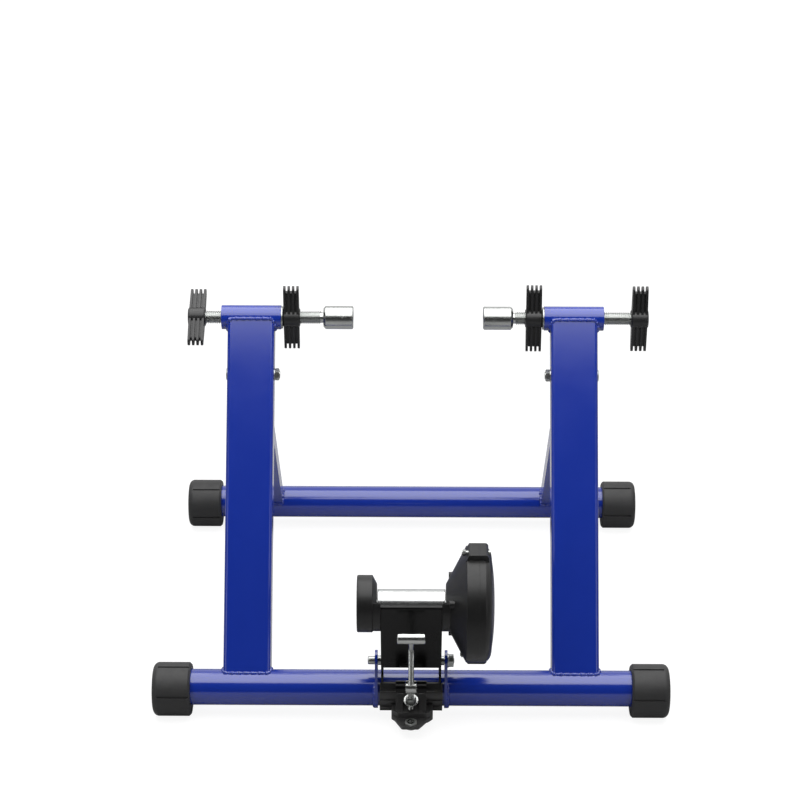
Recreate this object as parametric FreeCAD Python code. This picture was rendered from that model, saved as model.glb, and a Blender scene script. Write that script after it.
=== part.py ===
import FreeCAD, Part
import math
import os

# Wheel-on turbo trainer: a folding steel frame that holds a bicycle's rear axle
# between two screw clamps and presses a magnetically braked roller on the tyre.
# X runs across (+X on the right, seen from behind), +Y forwards, +Z up, floor at Z = 0.
# The origin is on the floor, in the middle of the trainer's width and depth.

# Base tubes and their end caps
base_width = 545.0
base_spread = 415.0
base_tube_r = 19.0
base_tube_wall = 1.5
cap_r = 28.5
cap_flat = 0.5
cap_offset = 2.8
cap_rim_edge = 2.0
cap_length = 40.0
cap_end_wall = 4.0
cap_edge_r = 6.5
cap_groove_count = 5
cap_groove_width = 2.2
cap_groove_depth = 1.3
cap_groove_end = 34.0
rear_left_groove = 4.0
rear_right_groove = 6.0
front_left_groove = 28.0
front_right_groove = 18.0

# Uprights: channels, open at the front, that the folding legs swing into
axle_height = 362.0
axle_forward = 218.0
upright_inset = 99.0
upright_x = base_width / 2 - upright_inset
upright_width = 50.0
upright_depth = 25.0
upright_wall = 2.0
upright_bend_r = 4.0

# Folding legs
leg_width = 32.0
leg_depth = 20.0
leg_wall = 1.5
fold_drop = 62.0
fold_bolt_r = 4.0
fold_head_r = 6.5
fold_head_height = 1.4
fold_head_edge = 0.9
fold_washer_r = 6.6
fold_washer_height = 1.2
fold_nut_flats = 11.5
fold_nut_height = 4.3
fold_nut_turn = 12.0
fold_bolt_end = 0.8
fold_stop_gap = 0.3
fold_bush_r = 8.0
fold_tube_r = 6.0

# Axle clamps
sleeve_r = 13.0
sleeve_length = 64.0
sleeve_wall = 2.0
insert_length = 18.0
rod_r = 7.0
rod_nose_r = 5.0
knob_clear = 23.5
cup_r = 12.5
cup_length = 32.0
cup_bore_r = 9.0
cup_bore_depth = 16.0
cup_back_wall = 10.0
cup_recess_r = 8.0
cup_chamfer = 2.5
rivet_r = 6.8
rivet_length = 2.2
cup_clear = 19.3
hub_shift = 6.0
lock_washer_r = 12.0
lock_washer_height = 1.6

# Wing knobs
knob_hub_r = 10.5
knob_hub_width = 18.6
knob_edge = 1.5
knob_reach = 36.5
knob_tip_r = 5.0
knob_root_r = 8.5
knob_fin_width = 2.4
knob_fin_count = 4
knob_pack_width = 16.5
knob_web_inset = 1.8
knob_web_short = 5.5
knob_wall = 3.0
knob_web_side = 0.4
outer_left_turn = -60.0
outer_right_turn = -5.0
inner_left_turn = 1.5
inner_right_turn = -10.0

# Resistance unit: the carrier swings on a bolt in two ears on the rear tube
pivot_back = 8.0
pivot_height = 70.0
unit_lean = 19.5
arm_length = 93.0
ear_gap = 70.0
ear_thickness = 3.0
ear_top_r = 11.0
ear_tube_rim = 2.5
pivot_bolt_r = 3.0
pivot_head_r = 4.4
pivot_head_height = 7.5
pivot_head_edge = 1.5
pivot_nut_flats = 12.5
pivot_nut_height = 5.0
pivot_nut_turn = 20.0
pivot_bolt_end = 0.6
pivot_flange_r = 7.4
pivot_flange_height = 1.6
pivot_tube_r = 5.0

# Roller and shaft
roller_r = 15.0
roller_length = 68.6
roller_wall = 3.0
roller_end_wall = 6.0
roller_edge = 0.6
shaft_r = 5.0
shaft_left = 51.0
shaft_right = 73.0
bearing_r = 13.0
bearing_width = 8.0
bearing_inner_r = 7.0
bearing_outer_wall = 2.0
bearing_start = 36.0
bearing_lip = 3.0
bearing_seal_inset = 0.6

# Carrier pressing
carrier_width = 62.6
carrier_sheet = 2.5
roller_clear = 2.0
web_bottom = 12.4
neck_rise = 14.0
neck_inset = 6.0
web_top = 106.6
lip_r = 2.4
flange_pivot_r = 10.0
flange_back = 11.0
lug_bar_top = -4.0
lug_bar_bottom = -14.0
lug_bar_face = 27.5
lug_inner = 6.0
lug_outer = 16.0
lug_r = 6.5
lug_wall = 4.0
lug_foot_r = 4.0

# Tension screw with its trunnion, stop nut and limit washer
trunnion_back = 38.0
trunnion_drop = 8.4
trunnion_r = 6.7
trunnion_width = 11.4
trunnion_edge = 0.5
trunnion_journal_r = 4.0
trunnion_journal_end = 15.0
tip_back = 24.0
tip_drop = 44.7
screw_r = 3.0
screw_top = 83.0
tip_chamfer = 0.8
handle_r = 5.75
handle_length = 28.4
handle_chamfer = 0.8
stop_nut_drop = 20.5
stop_nut_flats = 9.6
stop_nut_height = 5.0
limit_washer_r = 7.6
limit_washer_height = 1.2

# Thrust seat behind the rear tube
seat_thickness = 12.0
seat_front = 22.0
seat_side = 10.0
seat_back = 38.5
seat_nose = 55.0
seat_left = 20.5
seat_right = 23.0
seat_mid_left = 14.0
seat_mid_right = 17.5
seat_nose_left = 9.5
seat_nose_right = 8.0
seat_nose_drop = 6.0
seat_nose_rise = 2.5
seat_edge_r = 3.0
seat_saddle_thickness = 3.2
seat_saddle_half = 33.0
saddle_start_angle = 134.0
saddle_end_angle = 262.0
seat_rib_count = 4
seat_rib_rise = 1.8
seat_rib_width = 2.2
cheek_inner = 8.4
cheek_outer = 16.0
cheek_top = 42.0
cheek_top_back = 25.0
cheek_top_r = 4.0
cheek_foot_back = 28.0
cheek_foot_r = 8.0
seat_nut_flats = 12.0
seat_nut_height = 1.8
seat_head_height = 2.0
seat_bolt_r = 4.0
seat_bolt_back = 47.5

# Left housing with the flywheel
left_rim_r = 29.2
left_rim_wall = 2.4
left_end = 55.3
left_taper_start = 39.6
left_nose_r = 20.5
arm_lug_r = 28.0
arm_lug_end = 40.0
arm_lug_rise = 31.0
arm_screw_drop = 22.5
arm_screw_side = 8.0
arm_screw_r = 2.0
arm_screw_head_r = 3.5
arm_screw_head = 2.4
nose_gap = 0.7
cover_edge = 1.5
spigot_length = 1.2
spigot_wall = 2.0
cover_thickness = 2.3
flywheel_r = 24.0
flywheel_width = 5.0
flywheel_start = 45.6
flywheel_edge = 1.0

# Drum with the eddy-current brake
drum_r = 59.3
drum_wall = 2.5
drum_nose_r = 20.5
drum_cone_start = 36.0
drum_cone_end = 55.5
drum_split = 68.0
drum_shoulder = 74.0
drum_edge = 7.0
drum_crown = 84.0
drum_crown_inset = 11.3
drum_crown_bulge = 0.8
drum_seam = 75.0
drum_flat_r = 12.0
drum_lug_half = 12.8
drum_lug_rise = 4.7
drum_lug_root = 4.0
drum_lug_end = 77.4
drum_lug_edge_r = 3.5
drum_boss_r = 4.0
drum_boss_ring = 33.0
drum_boss_count = 3
drum_boss_sink = 3.5
drum_boss_rise = 2.0
drum_boss_turn = 150.0
drum_screw_r = 2.0
drum_screw_inset = 3.8
drum_screw_tail = 1.0
drum_screw_head_r = 2.6
drum_screw_head = 2.0
drum_nut_flats = 5.5
drum_nut_height = 3.0
rotor_r = 50.0
rotor_start = 62.0
rotor_width = 3.0
rotor_hub_r = 10.0
rotor_hub_start = 56.0
shaft_nut_flats = 13.0
shaft_nut_height = 5.0
magnet_count = 8
magnet_r = 9.0
magnet_ring = 36.0
magnet_start = 67.6
magnet_width = 4.4
magnet_plate_width = 3.0
magnet_plate_r = 50.0
magnet_plate_bore = 18.0
post_r = 4.0
post_inset = 6.0
post_turn = 30.0

# Clearances
weld_gap = 0.05
running_gap = 0.05
rest_gap = 0.3

# Places worked out from the sizes above
tube_z = cap_r - cap_flat + cap_offset
lean = math.radians(unit_lean)
roller_back = pivot_back + arm_length * math.sin(lean)
roller_z = pivot_height + arm_length * math.cos(lean)
rear_reach = roller_back + drum_r
front_reach = base_spread + cap_r
rear_y = (rear_reach - front_reach) / 2
front_y = rear_y + base_spread
axle_y = rear_y + axle_forward
pivot_y = rear_y - pivot_back
roller_y = rear_y - roller_back
trunnion_y = pivot_y - trunnion_back
trunnion_z = pivot_height - trunnion_drop
tip_y = pivot_y - tip_back
tip_z = pivot_height - tip_drop
screw_run = math.hypot(trunnion_y - tip_y, trunnion_z - tip_z)
screw_up = ((trunnion_y - tip_y) / screw_run, (trunnion_z - tip_z) / screw_run)
upright_run = math.hypot(axle_forward, axle_height - tube_z)
upright_up = (axle_forward / upright_run, (axle_height - tube_z) / upright_run)
upright_rear = (-upright_up[1], upright_up[0])
fold_y = axle_y - fold_drop * upright_up[0]
fold_z = axle_height - fold_drop * upright_up[1]
leg_run = math.hypot(front_y - fold_y, fold_z - tube_z)
leg_down = ((front_y - fold_y) / leg_run, (tube_z - fold_z) / leg_run)
sleeve_inner = upright_x - sleeve_length / 2
sleeve_outer = upright_x + sleeve_length / 2
cup_stand = cup_clear + knob_hub_width + lock_washer_height
hub_gap = 2 * (sleeve_inner - cup_stand - cup_length)
cup_to_knob = sleeve_outer + knob_clear - hub_gap / 2 - cup_length
drum_lug_top = drum_r + drum_lug_rise
drum_screw_z = drum_lug_top - drum_screw_inset
drum_crown_r = drum_r - drum_crown_inset
drum_slope = (drum_r - drum_nose_r) / (drum_cone_end - roller_length / 2 - nose_gap)
drum_lug_start = drum_cone_end + drum_lug_rise / drum_slope
seat_z = tip_z - rest_gap - (screw_r - tip_chamfer) * abs(screw_up[0])

V = FreeCAD.Vector
os.makedirs("parts", exist_ok=True)
X_AXIS = V(1, 0, 0)


def save(node, solids):
    if not isinstance(solids, list):
        solids = [solids]
    shape = solids[0] if len(solids) == 1 else Part.makeCompound(solids)
    shape.exportStep("parts/" + node + ".step")
    count = sum(len(s.Solids) for s in solids)
    volume = sum(s.Volume for s in solids)
    print(node, "solids", count, "volume", round(volume, 1), "valid", shape.isValid())


def face_of(steps, place):
    # A step is a point, or a pair (through, end) that an arc follows.
    edges = []
    last = place(*steps[0])
    for step in steps[1:] + [steps[0]]:
        if isinstance(step[0], tuple):
            end = place(*step[1])
            edges.append(Part.Arc(last, place(*step[0]), end).toShape())
        else:
            end = place(*step)
            if (end - last).Length > 1e-6:
                edges.append(Part.LineSegment(last, end).toShape())
        last = end
    return Part.Face(Part.Wire(edges))


def turned(steps, y, z, seam=0):
    # A solid of revolution about a line along X; steps are (x, radius).
    face = face_of(steps, lambda x, r: V(x, y, z + r))
    face.rotate(V(0, y, z), X_AXIS, seam)
    return face.revolve(V(0, y, z), X_AXIS, 360)


def plate(steps, x0, x1):
    # A flat outline of (y, z) points, thickened along X.
    return face_of(steps, lambda y, z: V(x0, y, z)).extrude(V(x1 - x0, 0, 0))


def rod(radius, x0, x1, y, z):
    low = min(x0, x1)
    return Part.makeCylinder(radius, abs(x1 - x0), V(low, y, z), X_AXIS)


def ring(outer, inner, x0, x1, y, z):
    return rod(outer, x0, x1, y, z).cut(rod(inner, x0 - 1, x1 + 1, y, z))


def box(x0, x1, y0, y1, z0, z1):
    return Part.makeBox(x1 - x0, y1 - y0, z1 - z0, V(x0, y0, z0))


def hexagon(flats, x0, x1, y, z, turn=0.0):
    corners = []
    for k in range(6):
        a = math.radians(60 * k + turn)
        corners.append((y + flats / math.sqrt(3) * math.cos(a), z + flats / math.sqrt(3) * math.sin(a)))
    return plate(corners, x0, x1)


def link_outline(p, p_r, q, q_r):
    # Two circles joined by their outer tangents.
    along = math.atan2(q[1] - p[1], q[0] - p[0])
    spread = math.acos((p_r - q_r) / math.hypot(q[0] - p[0], q[1] - p[1]))

    def on(c, r, a):
        return (c[0] + r * math.cos(a), c[1] + r * math.sin(a))

    return [on(p, p_r, along + spread),
            (on(p, p_r, along + math.pi), on(p, p_r, along - spread)),
            on(q, q_r, along - spread),
            (on(q, q_r, along), on(q, q_r, along + spread))]


def link(p, p_r, q, q_r, x0, x1):
    return plate(link_outline(p, p_r, q, q_r), x0, x1)


def across(radius, a, b, start, end, direction):
    # A cylinder in the Y-Z plane: from `start` to `end` along `direction`, measured from (a, b).
    base = V(0, a + direction[0] * start, b + direction[1] * start)
    return Part.makeCylinder(radius, end - start, base, V(0, direction[0], direction[1]))


def in_unit(t, n):
    # Carrier coordinates: t along the leaning web from the pivot, n square to it, rearwards.
    return (pivot_y - t * math.sin(lean) - n * math.cos(lean),
            pivot_height + t * math.cos(lean) - n * math.sin(lean))


def base_tube(y):
    half = base_width / 2 - cap_end_wall - weld_gap
    return ring(base_tube_r, base_tube_r - base_tube_wall, -half, half, y, tube_z)


def end_cap(side, y, first_groove):
    inner = base_width / 2 - cap_length
    bore = base_tube_r + weld_gap
    e = cap_edge_r
    arc_at = cap_edge_r * (1 - math.sqrt(0.5))
    rim = cap_rim_edge
    axis_z = tube_z - cap_offset
    profile = [(0, 0), (0, cap_r - rim), (rim, cap_r), (cap_length - e, cap_r),
               ((cap_length - arc_at, cap_r - arc_at), (cap_length, cap_r - e)), (cap_length, 0)]
    steps = []
    for step in profile:
        if isinstance(step[0], tuple):
            steps.append(tuple((side * (inner + x), r) for x, r in step))
        else:
            steps.append((side * (inner + step[0]), step[1]))
    # The outside sits lower than the bore, so that turning a cap levels the trainer.
    cap = turned(steps, y, axis_z)
    cap = cap.cut(rod(bore, side * (inner - 1), side * (inner + cap_length - cap_end_wall), y, tube_z))
    reach = sorted([side * (inner - 1), side * (inner + cap_groove_end)])
    for k in range(cap_groove_count):
        cutter = box(reach[0], reach[1], y - cap_groove_width / 2, y + cap_groove_width / 2,
                     axis_z + cap_r - cap_groove_depth, axis_z + 2 * cap_r)
        cutter.rotate(V(0, y, axis_z), X_AXIS, first_groove + k * 360 / cap_groove_count)
        cap = cap.cut(cutter)
    below = box(-base_width, base_width, y - 2 * cap_r, y + 2 * cap_r, -cap_r, 0)
    return cap.cut(below)


def upright(side):
    w = upright_width / 2
    d = upright_depth / 2
    t = upright_wall
    r = upright_bend_r
    ri = upright_bend_r - upright_wall
    k = 1 - math.sqrt(0.5)
    section = [(-w, -d), (-w, d - r), ((-w + k * r, d - k * r), (-w + r, d)), (w - r, d),
               ((w - k * r, d - k * r), (w, d - r)), (w, -d), (w - t, -d), (w - t, d - r),
               ((w - t - k * ri, d - t - k * ri), (w - r, d - t)), (-w + r, d - t),
               ((-w + t + k * ri, d - t - k * ri), (-w + t, d - r)), (-w + t, -d)]

    def place(x, n):
        return V(side * upright_x + x, rear_y + n * upright_rear[0], tube_z + n * upright_rear[1])

    along = V(0, upright_up[0], upright_up[1]) * upright_run
    body = face_of(section, place).extrude(along)
    x0 = side * upright_x - upright_width
    x1 = side * upright_x + upright_width
    body = body.cut(rod(base_tube_r + weld_gap, x0, x1, rear_y, tube_z))
    body = body.cut(rod(sleeve_r + weld_gap, x0, x1, axle_y, axle_height))
    return body.cut(rod(fold_bolt_r + running_gap, x0, x1, fold_y, fold_z))


def leg(side):
    x0 = side * upright_x - leg_width / 2
    x1 = side * upright_x + leg_width / 2
    h = leg_depth / 2
    start = -2 * h
    end = leg_run

    def at(s, n):
        return (fold_y + leg_down[0] * s - leg_down[1] * n, fold_z + leg_down[1] * s + leg_down[0] * n)

    outer = plate([at(start, -h), at(end, -h), at(end, h), at(start, h)], x0, x1)
    i = h - leg_wall
    hollow = plate([at(2 * start, -i), at(end, -i), at(end, i), at(2 * start, i)],
                   x0 + leg_wall, x1 - leg_wall)
    body = outer.cut(hollow)
    # The top end bears flat on the channel's web when open, and is rounded where it swings past it.
    web = upright_depth / 2 - upright_wall - fold_stop_gap
    ux, uz = upright_up
    nx, nz = upright_rear
    far = 4 * leg_depth

    def around(u, n):
        return (fold_y + ux * u + nx * n, fold_z + uz * u + nz * n)

    beyond = plate([around(-far, web), around(far, web), around(far, far), around(-far, far)],
                   x0 - 1, x1 + 1)
    body = body.cut(beyond)
    lower = plate([around(0, 0), around(0, far), around(-web, far), around(-far, web), around(-far, 0)],
                  x0 - 1, x1 + 1)
    foot = plate([at(0, -far), at(far, -far), at(far, far), at(0, far)], x0 - 1, x1 + 1)
    rounding = lower.cut(foot).cut(rod(web, x0 - 2, x1 + 2, fold_y, fold_z))
    body = body.cut(rounding)
    body = body.cut(rod(base_tube_r + weld_gap, x0 - 1, x1 + 1, front_y, tube_z))
    return body.cut(rod(fold_bolt_r + running_gap, x0 - 1, x1 + 1, fold_y, fold_z))


def fold_bolt(side):
    outer = upright_x + upright_width / 2
    inner = upright_x - upright_width / 2 - fold_washer_height - fold_nut_height - fold_bolt_end
    shank = rod(fold_bolt_r, side * inner, side * outer, fold_y, fold_z)
    head = rod(fold_head_r, side * outer, side * (outer + fold_head_height), fold_y, fold_z)
    edge = [e for e in head.Edges if abs(abs(e.BoundBox.XMin) - outer - fold_head_height) < 0.01
            and len(e.Vertexes) == 1]
    return head.makeFillet(fold_head_edge, edge).fuse(shank)


def fold_washer(side):
    face = upright_x - upright_width / 2
    return ring(fold_washer_r, fold_bolt_r + weld_gap,
                *sorted([side * face, side * (face - fold_washer_height)]), fold_y, fold_z)


def fold_nut(side):
    start = upright_x - upright_width / 2 - fold_washer_height
    ends = sorted([side * start, side * (start - fold_nut_height)])
    nut = hexagon(fold_nut_flats, ends[0], ends[1], fold_y, fold_z, fold_nut_turn)
    flat = fold_nut_flats / 2
    middle = (ends[0] + ends[1]) / 2
    crown = turned([(ends[0] - 1, 0), (ends[0] - 1, flat - 1), (middle, flat + fold_nut_height / 2),
                    (ends[1] + 1, flat - 1), (ends[1] + 1, 0)], fold_y, fold_z)
    return nut.common(crown).cut(rod(fold_bolt_r + weld_gap, ends[0] - 1, ends[1] + 1, fold_y, fold_z))


def fold_bush(side, inner_side):
    gap = (upright_width - 2 * upright_wall - leg_width) / 2
    start = leg_width / 2 + rest_gap / 2
    centre = side * upright_x
    a = centre + inner_side * start
    b = centre + inner_side * (leg_width / 2 + gap - rest_gap / 2)
    return ring(fold_bush_r, fold_bolt_r + running_gap, min(a, b), max(a, b), fold_y, fold_z)


def fold_pivot_tube(side):
    half = leg_width / 2 - leg_wall - weld_gap
    centre = side * upright_x
    return ring(fold_tube_r, fold_bolt_r + running_gap, centre - half, centre + half, fold_y, fold_z)


def sleeve(side):
    ends = sorted([side * sleeve_inner, side * sleeve_outer])
    return ring(sleeve_r, sleeve_r - sleeve_wall, ends[0], ends[1], axle_y, axle_height)


def thread_inserts(side):
    outer = sleeve_r - sleeve_wall - weld_gap
    inserts = []
    for start in (sleeve_inner, sleeve_outer - insert_length):
        ends = sorted([side * start, side * (start + insert_length)])
        inserts.append(ring(outer, rod_r + running_gap, ends[0], ends[1], axle_y, axle_height))
    return inserts


def cup_back(side):
    # The cup's outer end: the hub sits between the two cups, a little off centre.
    return side * (hub_gap / 2 + cup_length) + hub_shift


def cup(side):
    back = cup_back(side)
    c = cup_chamfer
    profile = [(0, rod_nose_r + running_gap), (0, cup_r - c), (c, cup_r), (cup_length - 1, cup_r),
               (cup_length, cup_r - 1), (cup_length, cup_bore_r + 1), (cup_length - 1, cup_bore_r),
               (cup_length - cup_bore_depth, cup_bore_r), (cup_length - cup_bore_depth, cup_recess_r),
               (cup_back_wall, cup_recess_r), (cup_back_wall, rod_nose_r + running_gap)]
    return turned([(back - side * x, r) for x, r in profile], axle_y, axle_height)


def clamp_rod(side):
    back = cup_back(side)
    thread_end = cup_to_knob + knob_hub_width - knob_wall - weld_gap
    rivet = cup_back_wall + running_gap
    end = rivet + rivet_length
    profile = [(end, 0), (end, rivet_r - 1), (end - 1, rivet_r), (rivet, rivet_r), (rivet, rod_nose_r),
               (-running_gap, rod_nose_r), (-running_gap, rod_r - 1), (-1 - running_gap, rod_r),
               (-thread_end, rod_r), (-thread_end, 0)]
    return turned([(back - side * x, r) for x, r in profile], axle_y, axle_height)


def wing_knob(x_low, turn, bore_side):
    # bore_side 0 is a through thread; otherwise the bore is open at that end only.
    x_high = x_low + knob_hub_width
    e = knob_edge
    hub = turned([(x_low, 0), (x_low, knob_hub_r - e), (x_low + e, knob_hub_r),
                  (x_high - e, knob_hub_r), (x_high, knob_hub_r - e), (x_high, 0)], axle_y, axle_height)
    start = x_low + (knob_hub_width - knob_pack_width) / 2
    pitch = (knob_pack_width - knob_fin_width) / (knob_fin_count - 1)
    centre = (axle_y, axle_height)
    tip = knob_reach - knob_tip_r
    body = hub
    for way in (1, -1):
        fin_tip = (axle_y, axle_height + way * tip)
        web_tip_r = knob_tip_r - knob_web_inset
        web_tip = (axle_y, axle_height + way * (knob_reach - knob_web_short - web_tip_r))
        body = body.fuse(link(centre, knob_root_r - knob_web_inset, web_tip, web_tip_r,
                              start + knob_web_side, start + knob_pack_width - knob_web_side))
        for k in range(knob_fin_count):
            a = start + k * pitch
            body = body.fuse(link(centre, knob_root_r, fin_tip, knob_tip_r, a, a + knob_fin_width))
    if bore_side == 0:
        bore = rod(rod_r + running_gap, x_low - 1, x_high + 1, axle_y, axle_height)
    elif bore_side < 0:
        bore = rod(rod_r + weld_gap, x_low - 1, x_high - knob_wall, axle_y, axle_height)
    else:
        bore = rod(rod_r + weld_gap, x_low + knob_wall, x_high + 1, axle_y, axle_height)
    body = body.cut(bore).removeSplitter()
    body.rotate(V(0, axle_y, axle_height), X_AXIS, turn)
    return body


def outer_knob(side):
    inner_face = abs(cup_back(side)) + cup_to_knob
    x_low = inner_face if side > 0 else -inner_face - knob_hub_width
    turn = outer_left_turn if side < 0 else outer_right_turn
    return wing_knob(x_low, turn, -side)


def lock_washer(side):
    start = sleeve_inner - running_gap
    ends = sorted([side * start, side * (start - lock_washer_height)])
    return ring(lock_washer_r, rod_r + running_gap, ends[0], ends[1], axle_y, axle_height)


def lock_knob(side):
    outer_face = sleeve_inner - lock_washer_height - 2 * running_gap
    x_low = outer_face - knob_hub_width if side > 0 else -outer_face
    turn = inner_left_turn if side < 0 else inner_right_turn
    return wing_knob(x_low, turn, 0)


def unit_ears():
    ears = []
    for side in (-1, 1):
        ends = sorted([side * ear_gap / 2, side * (ear_gap / 2 + ear_thickness)])
        ear = link((pivot_y, pivot_height), ear_top_r, (rear_y, tube_z), base_tube_r + ear_tube_rim,
                   ends[0], ends[1])
        ear = ear.cut(rod(base_tube_r + weld_gap, ends[0] - 1, ends[1] + 1, rear_y, tube_z))
        ears.append(ear.cut(rod(pivot_bolt_r + weld_gap, ends[0] - 1, ends[1] + 1, pivot_y, pivot_height)))
    return ears


def pivot_bolt():
    outer = ear_gap / 2 + ear_thickness
    end = outer + pivot_flange_height + pivot_nut_height + pivot_bolt_end
    top = -outer - pivot_head_height
    e = pivot_head_edge
    arc_at = e * (1 - math.sqrt(0.5))
    head = turned([(top, 0), (top, pivot_head_r - e), ((top + arc_at, pivot_head_r - arc_at),
                   (top + e, pivot_head_r)), (-outer, pivot_head_r), (-outer, 0)], pivot_y, pivot_height)
    return head.fuse(rod(pivot_bolt_r, -outer - 1, end, pivot_y, pivot_height))


def pivot_nut():
    start = ear_gap / 2 + ear_thickness
    mid = start + pivot_flange_height
    body = rod(pivot_flange_r, start, mid, pivot_y, pivot_height)
    end = mid + pivot_nut_height
    body = body.fuse(hexagon(pivot_nut_flats, mid, end, pivot_y, pivot_height, pivot_nut_turn))
    return body.cut(rod(pivot_bolt_r + weld_gap, start - 1, end + 1, pivot_y, pivot_height))


def pivot_tube():
    half = ear_gap / 2 - rest_gap
    return ring(pivot_tube_r, pivot_bolt_r + running_gap, -half, half, pivot_y, pivot_height)


def seat_block(back, left, right, z0, z1):
    points = [(-seat_left, rear_y - seat_front), (seat_right, rear_y - seat_front),
              (seat_right, rear_y - seat_front - seat_side), (right, rear_y - back),
              (-left, rear_y - back), (-seat_left, rear_y - seat_front - seat_side)]
    block = face_of(points, lambda x, y: V(x, y, z0)).extrude(V(0, 0, z1 - z0))
    edges = []
    for e in block.Edges:
        b = e.BoundBox
        if b.ZLength > z1 - z0 - 0.01 and b.YMax < rear_y - seat_front - 1:
            edges.append(e)
    return block.makeFillet(seat_edge_r, edges)


def thrust_seat():
    low = seat_z - seat_thickness
    block = seat_block(seat_back, seat_mid_left, seat_mid_right, low, seat_z)
    nose = seat_block(seat_nose, seat_nose_left, seat_nose_right, low + seat_nose_rise,
                      seat_z - seat_nose_drop)
    block = block.fuse(nose)
    reach = base_tube_r + seat_saddle_thickness
    saddle = ring(reach, base_tube_r + weld_gap, -seat_saddle_half, seat_saddle_half, rear_y, tube_z)
    step = (saddle_end_angle - saddle_start_angle) / 4
    fan = [(rear_y, tube_z)]
    for k in range(5):
        a = math.radians(saddle_start_angle + k * step)
        fan.append((rear_y + 2 * reach * math.cos(a), tube_z + 2 * reach * math.sin(a)))
    saddle = saddle.common(plate(fan, -seat_saddle_half, seat_saddle_half))
    body = block.fuse(box(-seat_left, seat_right, rear_y - seat_front - 1, rear_y, low, seat_z))
    # Two upright cheeks guide the screw's tip.
    for side in (-1, 1):
        ends = sorted([side * cheek_inner, side * cheek_outer])
        foot = (rear_y - cheek_foot_back, seat_z - 1)
        crest = (rear_y - cheek_top_back, cheek_top - cheek_top_r)
        body = body.fuse(link(foot, cheek_foot_r, crest, cheek_top_r, ends[0], ends[1]))
    body = body.cut(rod(base_tube_r + weld_gap, -base_width / 2, base_width / 2, rear_y, tube_z))
    body = body.fuse(saddle)
    spread = (saddle_end_angle - saddle_start_angle) / (seat_rib_count + 1)
    for k in range(1, seat_rib_count + 1):
        rib = box(-seat_saddle_half, seat_saddle_half, rear_y + base_tube_r + 1,
                  rear_y + reach + seat_rib_rise, tube_z - seat_rib_width / 2, tube_z + seat_rib_width / 2)
        rib.rotate(V(0, rear_y, tube_z), X_AXIS, saddle_start_angle + k * spread)
        body = body.fuse(rib)
    hole = Part.makeCylinder(seat_bolt_r + weld_gap, 2 * seat_thickness,
                             V(0, rear_y - seat_bolt_back, low - 1))
    return body.cut(hole).removeSplitter()


def vertical_hexagon(flats, x, y, z0, z1):
    corners = []
    for k in range(6):
        a = math.radians(60 * k)
        corners.append((x + flats / math.sqrt(3) * math.cos(a), y + flats / math.sqrt(3) * math.sin(a)))
    return face_of(corners, lambda px, py: V(px, py, z0)).extrude(V(0, 0, z1 - z0))


def seat_bolt():
    y = rear_y - seat_bolt_back
    low = seat_z - seat_thickness + seat_nose_rise
    top = seat_z - seat_nose_drop + seat_nut_height
    head = Part.makeCylinder(seat_nut_flats / 2, seat_head_height, V(0, y, low - seat_head_height))
    return head.fuse(Part.makeCylinder(seat_bolt_r, top - low + 1, V(0, y, low - 1))).removeSplitter()


def seat_nut():
    y = rear_y - seat_bolt_back
    low = seat_z - seat_nose_drop
    nut = vertical_hexagon(seat_nut_flats, 0, y, low, low + seat_nut_height)
    return nut.cut(Part.makeCylinder(seat_bolt_r + weld_gap, seat_thickness, V(0, y, low - 1)))


def carrier():
    half = carrier_width / 2
    s = carrier_sheet
    face = roller_r + roller_clear + s
    inner = face - s
    web = plate([in_unit(web_bottom, inner), in_unit(web_top, inner), in_unit(web_top, face),
                 in_unit(web_bottom, face)], -half, half)
    lip = rod(lip_r, -half, half, *in_unit(web_top, face - lip_r))
    body = web.fuse(lip)
    neck = arm_length - roller_r - roller_clear
    for side in (-1, 1):
        ends = sorted([side * half, side * (half - s)])
        sheet = plate([in_unit(0, face), in_unit(web_top, face), in_unit(web_top, inner - 1),
                       in_unit(neck + neck_rise, inner - neck_inset), in_unit(neck - 2, -flange_back),
                       in_unit(0, -flange_pivot_r), in_unit(-flange_pivot_r, 0),
                       in_unit(lug_bar_bottom, lug_bar_face - s), in_unit(lug_bar_bottom, lug_bar_face),
                       in_unit(lug_bar_top, lug_bar_face)], ends[0], ends[1])
        sheet = sheet.cut(rod(roller_r + roller_clear, ends[0] - 1, ends[1] + 1, roller_y, roller_z))
        body = body.fuse(sheet)
        bar = plate([in_unit(lug_bar_bottom, lug_bar_face - s), in_unit(lug_bar_bottom, lug_bar_face),
                     in_unit(lug_bar_top, lug_bar_face), in_unit(lug_bar_top, lug_bar_face - s)],
                    *sorted([side * half, side * (lug_outer - lug_wall)]))
        body = body.fuse(bar)
        boss_ends = sorted([side * lug_inner, side * lug_outer])
        t_mid = (lug_bar_top + lug_bar_bottom) / 2
        boss = link((trunnion_y, trunnion_z), lug_r, in_unit(t_mid, lug_bar_face - s / 2), lug_foot_r,
                    *sorted([side * (lug_outer - lug_wall), side * lug_outer]))
        body = body.fuse(boss).fuse(rod(lug_r, boss_ends[0], boss_ends[1], trunnion_y, trunnion_z))
        for n in (-arm_screw_side, arm_screw_side):
            place = in_unit(arm_length - arm_screw_drop, n)
            body = body.cut(rod(arm_screw_r + weld_gap, ends[0] - s, ends[1] + s, *place))
    body = body.cut(rod(trunnion_journal_r + running_gap, -trunnion_journal_end - running_gap,
                        trunnion_journal_end + running_gap, trunnion_y, trunnion_z))
    body = body.cut(rod(pivot_tube_r + weld_gap, -half - 1, half + 1, pivot_y, pivot_height))
    return body.removeSplitter()


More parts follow.
